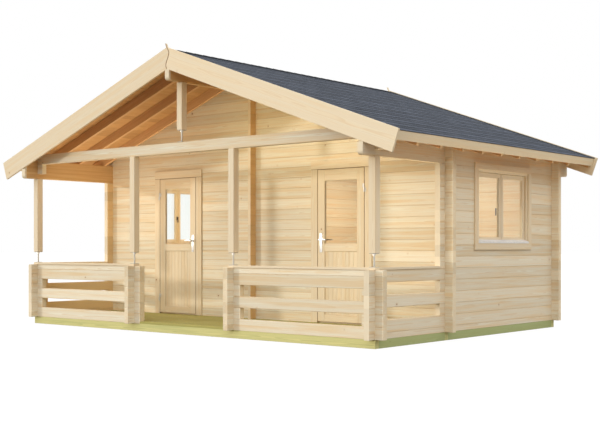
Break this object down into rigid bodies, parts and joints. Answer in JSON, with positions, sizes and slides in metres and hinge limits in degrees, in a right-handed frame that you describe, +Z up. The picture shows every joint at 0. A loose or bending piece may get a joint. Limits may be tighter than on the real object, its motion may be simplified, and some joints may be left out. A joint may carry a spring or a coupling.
{
  "type": "log cabin",
  "caption": "Single-storey log cabin with two rooms, a covered veranda with log railings, outward-opening glazed doors and a shingled gable roof.",
  "frame": {"origin": "level ground, under the ridge line, midway between the front and rear bargeboards", "axes": "+X along the front to the right as seen from the front, +Y from the veranda to the back, +Z up"},
  "size_m": [6.91, 4.712, 3.5868],
  "materials": {
    "log_pine": "planed, unpainted",
    "planed_pine": "planed, unpainted",
    "roof_pine": "sawn, unpainted",
    "treated_pine": "sawn, green preservative",
    "floor_pine": "planed boards",
    "roof_shingle": "mineral granules",
    "steel": "satin",
    "dark_metal": "satin",
    "pale_sill": "matt",
    "pane": "clear"
  },
  "bodies": {
    "root": {"back_wall": "log_pine", "bargeboards_front": "planed_pine", "bargeboards_rear": "planed_pine", "cabin_floor": "floor_pine", "door_frame_hinges": "steel", "door_left_casing": "planed_pine", "door_left_frame": "planed_pine", "door_right_casing": "planed_pine", "door_right_frame": "planed_pine", "eave_boards": "planed_pine", "foundation_bearers": "treated_pine", "front_gable": "log_pine", "front_wall_centre": "log_pine", "front_wall_left": "log_pine", "front_wall_right": "log_pine", "handrails": "planed_pine", "king_post": "planed_pine", "left_wall": "log_pine", "partition_wall": "log_pine", "post_jacks": "steel", "rafters": "roof_pine", "railing_left": "log_pine", "railing_right": "log_pine", "ridge_beam": "log_pine", "ridge_cap": "roof_shingle", "right_wall": "log_pine", "roof_boards": "roof_pine", "roofing": "roof_shingle", "tie_beam": "log_pine", "veranda_floor": "treated_pine", "veranda_posts": "planed_pine", "wall_plates": "log_pine", "window_handles": "dark_metal", "window_left_casing": "planed_pine", "window_left_frame": "planed_pine", "window_left_glass": "pane", "window_left_sashes": "planed_pine", "window_right_casing": "planed_pine", "window_right_frame": "planed_pine", "window_right_glass": "pane", "window_right_sashes": "planed_pine", "window_sills": "pale_sill"},
    "door_left": {"door_left_leaf": "planed_pine", "door_left_glass": "pane", "door_left_panel": "planed_pine", "door_left_plates": "steel", "door_left_hinges": "steel"},
    "door_left_handle": {"door_left_lever": "steel"},
    "door_right": {"door_right_leaf": "planed_pine", "door_right_glass": "pane", "door_right_panel": "planed_pine", "door_right_plates": "steel", "door_right_hinges": "steel"},
    "door_right_handle": {"door_right_lever": "steel"}
  },
  "joints": [
    {"name": "door_left_hinge", "type": "hinge", "parent": "root", "child": "door_left", "pos_m": [-1.8505, -0.7973, 1], "axis": [0, 0, -1], "range_deg": [0, 110]},
    {"name": "door_right_hinge", "type": "hinge", "parent": "root", "child": "door_right", "pos_m": [1.8505, -0.7973, 1], "axis": [0, 0, 1], "range_deg": [0, 110]},
    {"name": "door_left_lever_turn", "type": "hinge", "parent": "door_left", "child": "door_left_handle", "pos_m": [-1.167, -0.7665, 1.176], "axis": [0, -1, 0], "range_deg": [0, 40], "stiffness_Nm_per_rad": 3, "springref_deg": -20.05},
    {"name": "door_right_lever_turn", "type": "hinge", "parent": "door_right", "child": "door_right_handle", "pos_m": [1.167, -0.7665, 1.176], "axis": [0, 1, 0], "range_deg": [0, 40], "stiffness_Nm_per_rad": 3, "springref_deg": -20.05}
  ]
}
